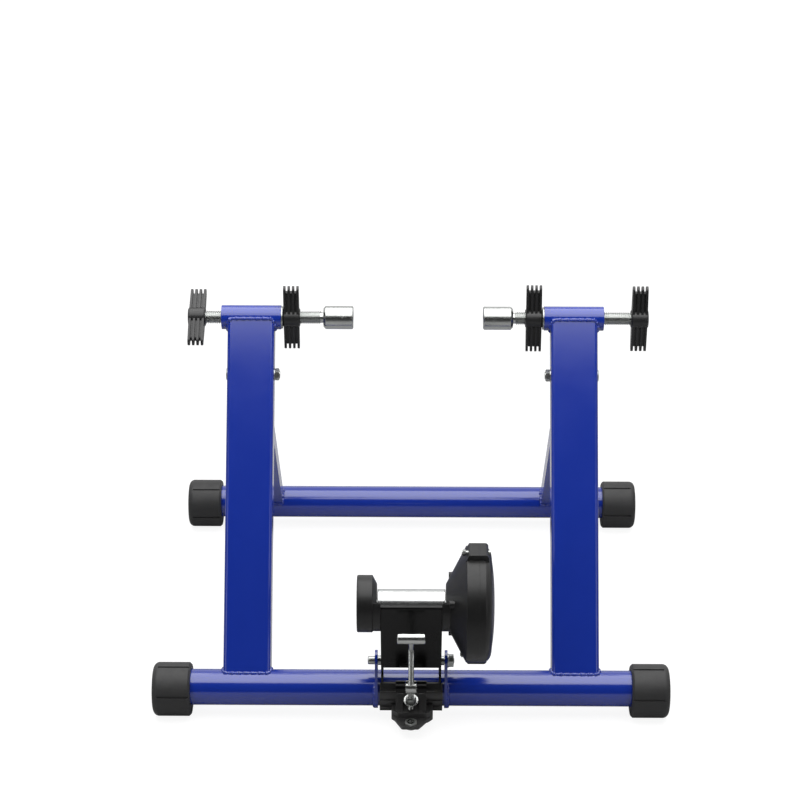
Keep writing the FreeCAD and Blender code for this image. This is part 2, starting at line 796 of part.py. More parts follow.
def arm_lug(side):
    # The half-ring that ties a bearing housing to the carrier's side; its open side leans forwards.
    ends = sorted([side * (carrier_width / 2 + weld_gap), side * arm_lug_end])
    lug = ring(arm_lug_r, roller_r + roller_clear, ends[0], ends[1], roller_y, roller_z)
    rise = math.radians(arm_lug_rise)
    far = 2 * arm_lug_r

    def around(back, up):
        return (roller_y - back * math.cos(rise) + up * math.sin(rise),
                roller_z + back * math.sin(rise) + up * math.cos(rise))

    open_side = plate([around(-far, 0), around(far, 0), around(far, far), around(-far, far)],
                      ends[0] - 1, ends[1] + 1)
    return lug.cut(open_side)


def screw_holes(body, side):
    ends = sorted([side * (carrier_width / 2 - 1), side * (arm_lug_end - 1)])
    for n in (-arm_screw_side, arm_screw_side):
        y, z = in_unit(arm_length - arm_screw_drop, n)
        body = body.cut(rod(arm_screw_r + weld_gap, ends[0], ends[1], y, z))
    return body


def arm_screws():
    screws = []
    for side in (-1, 1):
        inside = carrier_width / 2 - carrier_sheet
        for n in (-arm_screw_side, arm_screw_side):
            y, z = in_unit(arm_length - arm_screw_drop, n)
            shank = rod(arm_screw_r, side * inside, side * (arm_lug_end - 1 - weld_gap), y, z)
            head = rod(arm_screw_head_r, side * inside, side * (inside - arm_screw_head), y, z)
            screws.append(shank.fuse(head))
    return screws


def left_housing():
    rim = left_end - cover_thickness
    wall_in = bearing_start + bearing_width + running_gap
    nose = roller_length / 2 + nose_gap
    profile = [(-nose, bearing_r - bearing_lip), (-nose, left_nose_r),
               (-left_taper_start, left_rim_r), (-rim, left_rim_r), (-rim, left_rim_r - left_rim_wall),
               (-wall_in, left_rim_r - left_rim_wall), (-wall_in, bearing_r + weld_gap),
               (-bearing_start, bearing_r + weld_gap), (-bearing_start, bearing_r - bearing_lip)]
    body = turned(profile, roller_y, roller_z).fuse(arm_lug(-1))
    return screw_holes(body, -1).removeSplitter()


def left_cover():
    rim = left_end - cover_thickness
    e = cover_edge
    arc_at = cover_edge * (1 - math.sqrt(0.5))
    spigot = left_rim_r - left_rim_wall - weld_gap
    inner = spigot - spigot_wall
    profile = [(-left_end, 0), (-left_end, left_rim_r - e), ((-left_end + arc_at, left_rim_r - arc_at),
               (-left_end + e, left_rim_r)), (-rim, left_rim_r), (-rim, spigot),
               (-rim + spigot_length, spigot), (-rim + spigot_length, inner), (-rim, inner), (-rim, 0)]
    return turned(profile, roller_y, roller_z)


def drum_lug(way, x0, x1, inside_r):
    # A flat-topped lug on the rim; its inner end carries on the cone's slope.
    top = drum_lug_top
    outline = [(x0, drum_r - drum_lug_root), (drum_cone_end, drum_r), (drum_lug_start, top),
               (x1, top), (x1, drum_r - drum_lug_root)]
    if x0 > drum_lug_start:
        e = drum_lug_edge_r
        at = e * (1 - math.sqrt(0.5))
        outline = [(x0, drum_r - drum_lug_root), (x0, top), (x1 - e, top),
                   ((x1 - at, top - at), (x1, top - e)), (x1, drum_r - drum_lug_root)]
    face = face_of(outline, lambda x, r: V(x, roller_y - drum_lug_half, roller_z + way * r))
    lug = face.extrude(V(0, 2 * drum_lug_half, 0))
    return lug.cut(rod(inside_r, x0 - 1, x1 + 1, roller_y, roller_z))


def drum_back():
    w = drum_wall
    nose = roller_length / 2 + nose_gap
    wall_in = bearing_start + bearing_width + bearing_lip
    slope_in = drum_cone_end + w / drum_slope / 2
    profile = [(nose, bearing_r - bearing_lip), (nose, drum_nose_r), (drum_cone_end, drum_r),
               (drum_split, drum_r), (drum_split, drum_r - w), (slope_in, drum_r - w),
               (wall_in, drum_nose_r), (wall_in, bearing_r + weld_gap),
               (bearing_start, bearing_r + weld_gap), (bearing_start, bearing_r - bearing_lip)]
    body = turned(profile, roller_y, roller_z, drum_seam).fuse(arm_lug(1))
    for way in (1, -1):
        start = drum_cone_end - drum_lug_root / drum_slope
        body = body.fuse(drum_lug(way, start, drum_split, drum_r - w / 2))
    for k in range(drum_boss_count):
        a = math.radians(drum_boss_turn + k * 360 / drum_boss_count)
        y = roller_y + drum_boss_ring * math.cos(a)
        z = roller_z + drum_boss_ring * math.sin(a)
        x = nose + (drum_boss_ring - drum_nose_r) / drum_slope
        body = body.fuse(rod(drum_boss_r, x - drum_boss_sink, x + drum_boss_rise, y, z))
    for way in (1, -1):
        z = roller_z + way * drum_screw_z
        body = body.cut(rod(drum_screw_r + weld_gap, drum_cone_end - w, drum_split + 1, roller_y, z))
    return screw_holes(body, 1).removeSplitter()


def drum_cover():
    w = drum_wall
    edge = drum_shoulder + drum_edge
    # The rounded edge from rim to crown passes through these two points.
    out_mid = (drum_shoulder + 0.66 * drum_edge, drum_r - 0.3 * drum_crown_inset)
    in_mid = (drum_shoulder + 0.66 * drum_edge - w, drum_r - 0.3 * drum_crown_inset - w / 2)
    flat = drum_flat_r
    crown_mid = (drum_crown + edge) / 2 + drum_crown_bulge
    profile = [(drum_split, drum_r), (drum_shoulder, drum_r), (out_mid, (edge, drum_crown_r)),
               ((crown_mid, (drum_crown_r + flat) / 2), (drum_crown, flat)), (drum_crown, 0),
               (drum_crown - w, 0), (drum_crown - w, flat),
               ((crown_mid - w, (drum_crown_r + flat) / 2), (edge - w, drum_crown_r)),
               (in_mid, (drum_shoulder, drum_r - w)), (drum_split, drum_r - w)]
    body = turned(profile, roller_y, roller_z, drum_seam)
    for way in (1, -1):
        body = body.fuse(drum_lug(way, drum_split, drum_lug_end, drum_r - drum_lug_root))
        z = roller_z + way * drum_screw_z
        body = body.cut(rod(drum_screw_r + weld_gap, drum_split - 1, drum_lug_end + 1, roller_y, z))
    plate_back = magnet_start + magnet_width + magnet_plate_width
    for k in range(3):
        a = math.radians(post_turn + k * 120)
        y = roller_y + (magnet_plate_bore + post_inset) * math.cos(a)
        z = roller_z + (magnet_plate_bore + post_inset) * math.sin(a)
        body = body.fuse(rod(post_r, plate_back + weld_gap, drum_crown - w, y, z))
    return body.removeSplitter()


def drum_screws():
    screws = []
    for way in (1, -1):
        z = roller_z + way * drum_screw_z
        start = drum_nut_face() - drum_nut_height - drum_screw_tail
        shank = rod(drum_screw_r, start, drum_lug_end, roller_y, z)
        head = rod(drum_screw_head_r, drum_lug_end, drum_lug_end + drum_screw_head, roller_y, z)
        screws.append(shank.fuse(head))
    return screws


def drum_nut_face():
    # The nuts sit against the lug's sloped end, clear of it all round.
    reach = drum_nut_flats / math.sqrt(3)
    return drum_lug_start - (drum_lug_top - drum_screw_z + reach) / drum_slope - weld_gap


def drum_nuts():
    nuts = []
    end = drum_nut_face()
    for way in (1, -1):
        z = roller_z + way * drum_screw_z
        nut = hexagon(drum_nut_flats, end - drum_nut_height, end, roller_y, z)
        bore = rod(drum_screw_r + weld_gap, end - drum_nut_height - 1, end + 1, roller_y, z)
        nuts.append(nut.cut(bore))
    return nuts


def roller():
    half = roller_length / 2
    e = roller_edge
    ro = roller_r
    ri = roller_r - roller_wall
    w = roller_end_wall
    bore = shaft_r + weld_gap
    return turned([(-half, bore), (-half, ro - e), (-half + e, ro), (half - e, ro), (half, ro - e),
                   (half, bore), (half - w, bore), (half - w, ri), (-half + w, ri), (-half + w, bore)],
                  roller_y, roller_z)


def bearing_rings(inner):
    rings = []
    for side in (-1, 1):
        ends = sorted([side * (bearing_start + running_gap), side * (bearing_start + bearing_width)])
        if inner:
            rings.append(ring(bearing_inner_r, shaft_r + weld_gap, ends[0], ends[1], roller_y, roller_z))
        else:
            inner_r = bearing_r - bearing_outer_wall
            rings.append(ring(bearing_r, inner_r, ends[0], ends[1], roller_y, roller_z))
    return rings


def bearing_seals():
    seals = []
    for side in (-1, 1):
        inset = bearing_seal_inset
        ends = sorted([side * (bearing_start + inset), side * (bearing_start + bearing_width - inset)])
        seals.append(ring(bearing_r - bearing_outer_wall - weld_gap, bearing_inner_r + running_gap,
                          ends[0], ends[1], roller_y, roller_z))
    return seals


def flywheel():
    e = flywheel_edge
    a = -flywheel_start - flywheel_width
    b = -flywheel_start
    return turned([(a, shaft_r + weld_gap), (a, flywheel_r - e), (a + e, flywheel_r), (b - e, flywheel_r),
                   (b, flywheel_r - e), (b, shaft_r + weld_gap)], roller_y, roller_z)


def rotor():
    start = rotor_start
    end = rotor_start + rotor_width
    bore = shaft_r + weld_gap
    return turned([(rotor_hub_start, bore), (rotor_hub_start, rotor_hub_r), (start, rotor_hub_r),
                   (start, rotor_r), (end, rotor_r), (end, bore)], roller_y, roller_z)


def shaft_nut():
    start = rotor_start + rotor_width
    nut = hexagon(shaft_nut_flats, start, start + shaft_nut_height, roller_y, roller_z)
    return nut.cut(rod(shaft_r + weld_gap, start - 1, start + shaft_nut_height + 1, roller_y, roller_z))


def magnet_plate():
    start = magnet_start + magnet_width
    return ring(magnet_plate_r, magnet_plate_bore, start, start + magnet_plate_width, roller_y, roller_z)


def magnets():
    group = []
    for k in range(magnet_count):
        a = 2 * math.pi * k / magnet_count
        group.append(rod(magnet_r, magnet_start, magnet_start + magnet_width,
                         roller_y + magnet_ring * math.cos(a), roller_z + magnet_ring * math.sin(a)))
    return group


def trunnion():
    half = trunnion_width / 2
    e = trunnion_edge
    body = turned([(-trunnion_journal_end, 0), (-trunnion_journal_end, trunnion_journal_r),
                   (-half, trunnion_journal_r), (-half, trunnion_r - e), (-half + e, trunnion_r),
                   (half - e, trunnion_r), (half, trunnion_r - e), (half, trunnion_journal_r),
                   (trunnion_journal_end, trunnion_journal_r), (trunnion_journal_end, 0)],
                  trunnion_y, trunnion_z)
    reach = 2 * trunnion_r
    return body.cut(across(screw_r + running_gap, trunnion_y, trunnion_z, -reach, reach, screw_up))


def tension_screw():
    shank = across(screw_r, trunnion_y, trunnion_z, -screw_run + tip_chamfer, screw_top - weld_gap, screw_up)
    tip = Part.makeCone(screw_r - tip_chamfer, screw_r, tip_chamfer, V(0, tip_y, tip_z),
                        V(0, screw_up[0], screw_up[1]))
    return shank.fuse(tip).removeSplitter()


def tension_handle():
    y = trunnion_y + screw_up[0] * screw_top
    z = trunnion_z + screw_up[1] * screw_top
    half = handle_length / 2
    c = handle_chamfer
    bar = turned([(-half, 0), (-half, handle_r - c), (-half + c, handle_r), (half - c, handle_r),
                  (half, handle_r - c), (half, 0)], y, z)
    return bar.cut(across(screw_r + weld_gap, y, z, -2 * handle_r, 0, screw_up))


def hex_on_screw(flats, start, end):
    up = V(0, screw_up[0], screw_up[1])
    side = X_AXIS.cross(up)
    base = V(0, trunnion_y, trunnion_z) + up * start
    corners = []
    for k in range(7):
        a = math.radians(60 * k)
        reach = flats / math.sqrt(3)
        corners.append(base + X_AXIS * (reach * math.cos(a)) + side * (reach * math.sin(a)))
    return Part.Face(Part.makePolygon(corners)).extrude(up * (end - start))


def stop_nut():
    low = -stop_nut_drop - stop_nut_height / 2
    high = low + stop_nut_height
    nut = hex_on_screw(stop_nut_flats, low, high)
    return nut.cut(across(screw_r + weld_gap, trunnion_y, trunnion_z, low - 1, high + 1, screw_up))


def limit_washer():
    high = -stop_nut_drop - stop_nut_height / 2 - running_gap
    low = high - limit_washer_height
    disc = across(limit_washer_r, trunnion_y, trunnion_z, low, high, screw_up)
    return disc.cut(across(screw_r + running_gap, trunnion_y, trunnion_z, low - 1, high + 1, screw_up))


save("rear_base_tube", base_tube(rear_y))
save("front_base_tube", base_tube(front_y))
save("rear_left_cap", end_cap(-1, rear_y, rear_left_groove))
save("rear_right_cap", end_cap(1, rear_y, rear_right_groove))
save("front_left_cap", end_cap(-1, front_y, front_left_groove))
save("front_right_cap", end_cap(1, front_y, front_right_groove))
for side, word in ((-1, "left"), (1, "right")):
    save(word + "_upright", upright(side))
    save(word + "_leg", leg(side))
    save(word + "_axle_sleeve", sleeve(side))
    save(word + "_thread_inserts", thread_inserts(side))
    save(word + "_cup", cup(side))
    save(word + "_clamp_rod", clamp_rod(side))
    save(word + "_outer_knob", outer_knob(side))
    save(word + "_lock_washer", lock_washer(side))
    save(word + "_lock_knob", lock_knob(side))
save("fold_bolts", [fold_bolt(-1), fold_bolt(1)])
save("fold_washers", [fold_washer(-1), fold_washer(1)])
save("fold_nuts", [fold_nut(-1), fold_nut(1)])
save("fold_bushes", [fold_bush(side, way) for side in (-1, 1) for way in (-1, 1)])
save("fold_pivot_tubes", [fold_pivot_tube(-1), fold_pivot_tube(1)])
save("unit_ears", unit_ears())
save("pivot_bolt", pivot_bolt())
save("pivot_nut", pivot_nut())
save("pivot_tube", pivot_tube())
save("thrust_seat", thrust_seat())
save("seat_bolt", seat_bolt())
save("seat_nut", seat_nut())
save("carrier", carrier())
save("arm_screws", arm_screws())
save("left_housing", left_housing())
save("left_cover", left_cover())
save("drum_back", drum_back())
save("drum_cover", drum_cover())
save("drum_screws", drum_screws())
save("drum_nuts", drum_nuts())
save("bearing_outer_rings", bearing_rings(False))
save("bearing_seals", bearing_seals())
save("magnet_plate", magnet_plate())
save("magnets", magnets())
save("roller", roller())
save("roller_shaft", rod(shaft_r, -shaft_left, shaft_right, roller_y, roller_z))
save("bearing_inner_rings", bearing_rings(True))
save("flywheel", flywheel())
save("rotor", rotor())
save("shaft_nut", shaft_nut())
save("trunnion", trunnion())
save("tension_screw", tension_screw())
save("tension_handle", tension_handle())
save("stop_nut", stop_nut())
save("limit_washer", limit_washer())
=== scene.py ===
import math

import bmesh
import bpy
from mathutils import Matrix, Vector


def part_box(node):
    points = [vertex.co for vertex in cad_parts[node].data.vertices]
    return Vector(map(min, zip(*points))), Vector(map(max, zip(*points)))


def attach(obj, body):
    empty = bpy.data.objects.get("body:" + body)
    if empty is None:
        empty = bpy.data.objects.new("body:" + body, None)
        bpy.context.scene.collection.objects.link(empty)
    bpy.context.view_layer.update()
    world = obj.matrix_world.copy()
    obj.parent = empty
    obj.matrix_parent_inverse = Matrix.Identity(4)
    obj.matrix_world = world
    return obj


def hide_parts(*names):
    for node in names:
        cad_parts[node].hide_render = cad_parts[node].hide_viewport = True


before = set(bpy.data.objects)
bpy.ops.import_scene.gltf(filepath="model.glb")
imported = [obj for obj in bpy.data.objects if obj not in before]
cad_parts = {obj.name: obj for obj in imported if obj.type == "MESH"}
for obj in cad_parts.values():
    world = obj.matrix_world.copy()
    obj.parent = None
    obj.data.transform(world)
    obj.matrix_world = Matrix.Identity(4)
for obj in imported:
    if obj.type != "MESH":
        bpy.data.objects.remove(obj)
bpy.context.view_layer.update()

print("frame loaded", len(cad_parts))

mm = 0.001


# Shader groups that several finishes share.
def newGroup(name, inputs, outputs):
    group = bpy.data.node_groups.new(name, "ShaderNodeTree")
    for label, kind, value in inputs:
        socket = group.interface.new_socket(name=label, in_out="INPUT", socket_type=kind)
        socket.default_value = value
    for label, kind in outputs:
        group.interface.new_socket(name=label, in_out="OUTPUT", socket_type=kind)
    inside = group.nodes.new("NodeGroupInput")
    outside = group.nodes.new("NodeGroupOutput")
    return group, inside, outside


def put(tree, kind, **values):
    node = tree.nodes.new(kind)
    for key, value in values.items():
        if key.startswith("in_"):
            name = key[3:].replace("_", " ")
            socket = node.inputs[int(name)] if name.isdigit() else node.inputs[name]
            socket.default_value = value
        else:
            setattr(node, key, value)
    return node


def makeMottle():
    # Two scales of cloudy variation on a colour, a roughness and a bump height.
    group, a, z = newGroup("mottle", [
        ("Colour", "NodeSocketColor", (0.5, 0.5, 0.5, 1)), ("Spread", "NodeSocketFloat", 0.1),
        ("Roughness", "NodeSocketFloat", 0.4), ("Rough Spread", "NodeSocketFloat", 0.1),
        ("Scale", "NodeSocketFloat", 60.0), ("Fine", "NodeSocketFloat", 900.0)],
        [("Colour", "NodeSocketColor"), ("Roughness", "NodeSocketFloat"), ("Height", "NodeSocketFloat")])
    coords = put(group, "ShaderNodeTexCoord")
    broad = put(group, "ShaderNodeTexNoise", in_Detail=5.0, in_Roughness=0.6)
    fine = put(group, "ShaderNodeTexNoise", in_Detail=3.0, in_Roughness=0.55)
    link = group.links.new
    link(coords.outputs["Object"], broad.inputs["Vector"])
    link(coords.outputs["Object"], fine.inputs["Vector"])
    link(a.outputs["Scale"], broad.inputs["Scale"])
    link(a.outputs["Fine"], fine.inputs["Scale"])
    centred = put(group, "ShaderNodeMath", operation="SUBTRACT", in_1=0.5)
    link(broad.outputs["Fac"], centred.inputs[0])
    swing = put(group, "ShaderNodeMath", operation="MULTIPLY_ADD", in_2=1.0)
    link(centred.outputs[0], swing.inputs[0])
    link(a.outputs["Spread"], swing.inputs[1])
    tint = put(group, "ShaderNodeVectorMath", operation="SCALE")
    link(a.outputs["Colour"], tint.inputs[0])
    link(swing.outputs[0], tint.inputs["Scale"])
    rough = put(group, "ShaderNodeMath", operation="MULTIPLY_ADD", use_clamp=True)
    link(centred.outputs[0], rough.inputs[0])
    link(a.outputs["Rough Spread"], rough.inputs[1])
    link(a.outputs["Roughness"], rough.inputs[2])
    link(tint.outputs[0], z.inputs["Colour"])
    link(rough.outputs[0], z.inputs["Roughness"])
    link(fine.outputs["Fac"], z.inputs["Height"])
    return group


def makeTurned():
    # Fine lathe lines round an axis along X, or brushed lines along it.
    group, a, z = newGroup("turnedLines", [
        ("Along", "NodeSocketFloat", 2500.0), ("Across", "NodeSocketFloat", 30.0)],
        [("Height", "NodeSocketFloat")])
    coords = put(group, "ShaderNodeTexCoord")
    combine = put(group, "ShaderNodeCombineXYZ")
    link = group.links.new
    link(a.outputs["Along"], combine.inputs["X"])
    link(a.outputs["Across"], combine.inputs["Y"])
    link(a.outputs["Across"], combine.inputs["Z"])
    stretch = put(group, "ShaderNodeVectorMath", operation="MULTIPLY")
    link(coords.outputs["Object"], stretch.inputs[0])
    link(combine.outputs[0], stretch.inputs[1])
    noise = put(group, "ShaderNodeTexNoise", in_Scale=1.0, in_Detail=4.0, in_Roughness=0.7)
    link(stretch.outputs[0], noise.inputs["Vector"])
    link(noise.outputs["Fac"], z.inputs["Height"])
    return group


def makeDust():
    # Dust that settles on what faces up.
    group, a, z = newGroup("settledDust", [
        ("Colour", "NodeSocketColor", (0.5, 0.5, 0.5, 1)),
        ("Dust", "NodeSocketColor", (0.3, 0.29, 0.27, 1)),
        ("Amount", "NodeSocketFloat", 0.1), ("Roughness", "NodeSocketFloat", 0.4)],
        [("Colour", "NodeSocketColor"), ("Roughness", "NodeSocketFloat")])
    link = group.links.new
    geometry = put(group, "ShaderNodeNewGeometry")
    split = put(group, "ShaderNodeSeparateXYZ")
    link(geometry.outputs["Normal"], split.inputs[0])
    up = put(group, "ShaderNodeMapRange", in_1=0.2, in_2=1.0)
    link(split.outputs["Z"], up.inputs[0])
    coords = put(group, "ShaderNodeTexCoord")
    noise = put(group, "ShaderNodeTexNoise", in_Scale=140.0, in_Detail=6.0, in_Roughness=0.65)
    link(coords.outputs["Object"], noise.inputs["Vector"])
    grain = put(group, "ShaderNodeMapRange", in_1=0.35, in_2=0.75)
    link(noise.outputs["Fac"], grain.inputs[0])
    both = put(group, "ShaderNodeMath", operation="MULTIPLY")
    link(up.outputs[0], both.inputs[0])
    link(grain.outputs[0], both.inputs[1])
    share = put(group, "ShaderNodeMath", operation="MULTIPLY", use_clamp=True)
    link(both.outputs[0], share.inputs[0])
    link(a.outputs["Amount"], share.inputs[1])
    mix = put(group, "ShaderNodeMix", data_type="RGBA")
    link(share.outputs[0], mix.inputs["Factor"])
    link(a.outputs["Colour"], mix.inputs[6])
    link(a.outputs["Dust"], mix.inputs[7])
    rough = put(group, "ShaderNodeMath", operation="ADD", use_clamp=True)
    link(a.outputs["Roughness"], rough.inputs[0])
    link(share.outputs[0], rough.inputs[1])
    link(mix.outputs[2], z.inputs["Colour"])
    link(rough.outputs[0], z.inputs["Roughness"])
    return group


mottle = makeMottle()
turnedLines = makeTurned()
settledDust = makeDust()


def material(name, look):
    surface = bpy.data.materials.new(name)
    surface.use_nodes = True
    tree = surface.node_tree
    shader = tree.nodes["Principled BSDF"]
    shader.inputs["Metallic"].default_value = look.get("metallic", 0.0)
    if "coat" in look:
        shader.inputs["Coat Weight"].default_value = look["coat"]
        shader.inputs["Coat Roughness"].default_value = look.get("coatRoughness", 0.1)
    if "specular" in look:
        shader.inputs["Specular IOR Level"].default_value = look["specular"]
    link = tree.links.new
    body = tree.nodes.new("ShaderNodeGroup")
    body.node_tree = mottle
    body.inputs["Colour"].default_value = (*look["colour"], 1)
    body.inputs["Spread"].default_value = look.get("spread", 0.1)
    body.inputs["Roughness"].default_value = look["roughness"]
    body.inputs["Rough Spread"].default_value = look.get("roughSpread", 0.1)
    body.inputs["Scale"].default_value = look.get("scale", 60.0)
    body.inputs["Fine"].default_value = look.get("fine", 900.0)
    colour, rough = body.outputs["Colour"], body.outputs["Roughness"]
    if look.get("dust"):
        dust = tree.nodes.new("ShaderNodeGroup")
        dust.node_tree = settledDust
        dust.inputs["Amount"].default_value = look["dust"]
        link(colour, dust.inputs["Colour"])
        link(rough, dust.inputs["Roughness"])
        colour, rough = dust.outputs["Colour"], dust.outputs["Roughness"]
    link(colour, shader.inputs["Base Color"])
    link(rough, shader.inputs["Roughness"])
    edge = tree.nodes.new("ShaderNodeBevel")
    edge.samples = 6
    edge.inputs["Radius"].default_value = look.get("edge", 0.4) * mm
    bump = tree.nodes.new("ShaderNodeBump")
    bump.inputs["Strength"].default_value = look.get("bump", 0.15)
    bump.inputs["Distance"].default_value = look.get("depth", 0.1) * mm
    link(edge.outputs[0], bump.inputs["Normal"])
    height = body.outputs["Height"]
    if look.get("lines"):
        lines = tree.nodes.new("ShaderNodeGroup")
        lines.node_tree = turnedLines
        lines.inputs["Along"].default_value = look["lines"][0]
        lines.inputs["Across"].default_value = look["lines"][1]
        height = lines.outputs["Height"]
    link(height, bump.inputs["Height"])
    link(bump.outputs[0], shader.inputs["Normal"])
    return surface


looks = {
    "bluePaint": {"colour": (0.005, 0.023, 0.25), "spread": 0.08, "roughness": 0.16, "roughSpread": 0.10,
                  "scale": 35.0, "fine": 420.0, "bump": 0.06, "depth": 0.08, "specular": 0.65,
                  "coat": 0.2, "coatRoughness": 0.12, "edge": 0.5},
    "capRubber": {"colour": (0.018, 0.018, 0.0185), "spread": 0.25, "roughness": 0.55, "roughSpread": 0.2,
                  "scale": 90.0, "fine": 1400.0, "bump": 0.3, "depth": 0.10, "dust": 0.05, "specular": 0.35,
                  "edge": 0.7},
    "zincSteel": {"colour": (0.42, 0.43, 0.42), "spread": 0.2, "roughness": 0.24, "roughSpread": 0.2,
                  "scale": 180.0, "metallic": 1.0, "bump": 0.06, "depth": 0.04, "edge": 0.35},
    "dullSteel": {"colour": (0.36, 0.37, 0.36), "spread": 0.3, "roughness": 0.34, "roughSpread": 0.2,
                  "scale": 220.0, "metallic": 1.0, "bump": 0.10, "depth": 0.05, "edge": 0.3},
    "knobPlastic": {"colour": (0.010, 0.010, 0.0105), "spread": 0.2, "roughness": 0.36, "roughSpread": 0.16,
                    "scale": 120.0, "fine": 2200.0, "bump": 0.2, "depth": 0.05, "dust": 0.03,
                    "specular": 0.4, "edge": 0.45},
    "blackPaint": {"colour": (0.002, 0.002, 0.0021), "spread": 0.2, "roughness": 0.24, "roughSpread": 0.2,
                   "scale": 70.0, "fine": 700.0, "bump": 0.10, "depth": 0.06, "dust": 0.01, "specular": 0.16,
                   "edge": 0.5},
    "seatPlastic": {"colour": (0.030, 0.030, 0.030), "spread": 0.2, "roughness": 0.34, "roughSpread": 0.2,
                    "scale": 90.0, "fine": 1500.0, "bump": 0.2, "depth": 0.05, "dust": 0.04, "specular": 0.5,
                    "edge": 0.5},
    "housingPlastic": {"colour": (0.007, 0.007, 0.0072), "spread": 0.15, "roughness": 0.38,
                       "roughSpread": 0.12, "scale": 60.0, "fine": 2600.0, "bump": 0.2, "depth": 0.04,
                       "dust": 0.02, "specular": 0.3, "edge": 0.6},
    "rollerSteel": {"colour": (0.55, 0.56, 0.56), "spread": 0.10, "roughness": 0.24, "roughSpread": 0.12,
                    "scale": 120.0, "metallic": 1.0, "lines": (2600.0, 40.0), "bump": 0.25, "depth": 0.02,
                    "edge": 0.4},
    "darkIron": {"colour": (0.13, 0.13, 0.13), "spread": 0.4, "roughness": 0.5, "metallic": 1.0,
                 "lines": (1800.0, 60.0), "bump": 0.3, "depth": 0.05},
    "rotorAluminium": {"colour": (0.72, 0.72, 0.73), "spread": 0.1, "roughness": 0.3, "metallic": 1.0,
                       "lines": (1500.0, 60.0), "bump": 0.2, "depth": 0.04},
    "bearingSteel": {"colour": (0.6, 0.61, 0.62), "spread": 0.1, "roughness": 0.2, "metallic": 1.0},
    "magnetNickel": {"colour": (0.5, 0.5, 0.52), "spread": 0.1, "roughness": 0.25, "metallic": 1.0},
    "bushNylon": {"colour": (0.03, 0.03, 0.03), "spread": 0.2, "roughness": 0.5, "bump": 0.2, "depth": 0.05},
}
made = {name: material(name, look) for name, look in looks.items()}

finishOf = {
    "bluePaint": ["rear_base_tube", "front_base_tube", "left_upright", "right_upright", "left_leg",
                  "right_leg", "left_axle_sleeve", "right_axle_sleeve", "unit_ears"],
    "capRubber": ["rear_left_cap", "rear_right_cap", "front_left_cap", "front_right_cap"],
    "zincSteel": ["left_cup", "right_cup", "left_clamp_rod", "right_clamp_rod", "seat_bolt", "seat_nut",
                  "trunnion", "tension_screw", "tension_handle", "stop_nut", "limit_washer"],
    "dullSteel": ["fold_bolts", "fold_washers", "fold_nuts", "fold_pivot_tubes", "pivot_bolt", "pivot_nut",
                  "pivot_tube", "arm_screws", "drum_screws", "drum_nuts", "shaft_nut", "left_thread_inserts",
                  "right_thread_inserts", "left_lock_washer", "right_lock_washer"],
    "knobPlastic": ["left_outer_knob", "right_outer_knob", "left_lock_knob", "right_lock_knob"],
    "blackPaint": ["carrier"],
    "seatPlastic": ["thrust_seat"],
    "housingPlastic": ["left_housing", "left_cover", "drum_back", "drum_cover"],
    "rollerSteel": ["roller", "roller_shaft"],
    "darkIron": ["flywheel", "magnet_plate"],
    "rotorAluminium": ["rotor"],
    "bearingSteel": ["bearing_outer_rings", "bearing_inner_rings"],
    "magnetNickel": ["magnets"],
    "bushNylon": ["fold_bushes", "bearing_seals"],
}
for finish, names in finishOf.items():
    for name in names:
        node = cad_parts[name]
        node.data.materials.clear()
        node.data.materials.append(made[finish])
print("materials", len(made))


# Modelling helpers. Sizes in the plans below are millimetres.
def deselect():
    if bpy.context.object and bpy.context.object.mode != "OBJECT":
        bpy.ops.object.mode_set(mode="OBJECT")
    bpy.ops.object.select_all(action="DESELECT")


def focus(piece):
    deselect()
    piece.select_set(True)
    bpy.context.view_layer.objects.active = piece


def pick(piece, kind, test):
    # Selects what passes the test by its middle and leaves the piece in edit mode.
    focus(piece)
    bpy.ops.object.mode_set(mode="EDIT")
    bpy.ops.mesh.select_mode(type=kind)
    bpy.ops.mesh.select_all(action="DESELECT")
    mesh = bmesh.from_edit_mesh(piece.data)
    parts = {"VERT": mesh.verts, "EDGE": mesh.edges, "FACE": mesh.faces}[kind]
    found = 0
    for part in parts:
        if kind == "VERT":
            middle = part.co
        elif kind == "EDGE":
            middle = (part.verts[0].co + part.verts[1].co) / 2
        else:
            middle = part.calc_center_median()
        if test(middle, part):
            part.select_set(True)
            found += 1
    mesh.select_flush_mode()
    bmesh.update_edit_mesh(piece.data)
    return found


def applied(piece, kind, **values):
    focus(piece)
    modifier = piece.modifiers.new(kind.lower(), kind)
    for key, value in values.items():
        setattr(modifier, key, value)
    bpy.ops.object.modifier_apply(modifier=modifier.name)
    return piece


def joined(pieces, name):
    deselect()
    for piece in pieces:
        piece.select_set(True)
    bpy.context.view_layer.objects.active = pieces[0]
    bpy.ops.object.join()
    piece = bpy.context.object
    piece.name = name
    return piece


def settled(piece):
    focus(piece)
    bpy.ops.object.transform_apply(location=True, rotation=True, scale=True)
    return piece


def discarded(piece):
    focus(piece)
    bpy.ops.object.delete()


def dressed(piece, finish, body, angle=35):
    settled(piece)
    bpy.ops.object.mode_set(mode="EDIT")
    bpy.ops.mesh.select_all(action="SELECT")
    bpy.ops.mesh.normals_make_consistent(inside=False)
    bpy.ops.object.mode_set(mode="OBJECT")
    piece.data.materials.clear()
    piece.data.materials.append(made[finish])
    bpy.ops.object.shade_smooth_by_angle(angle=math.radians(angle))
    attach(piece, body)
    return piece


def middleOf(node):
    low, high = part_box(node)
    return (low + high) / 2


# Threads: a narrow-topped ridge turned along X by the screw modifier, on a core with stepped ends.
ridgeForm = {"baseShare": 0.96, "topShare": 0.2, "sunk": 0.3, "endShare": 1.1}


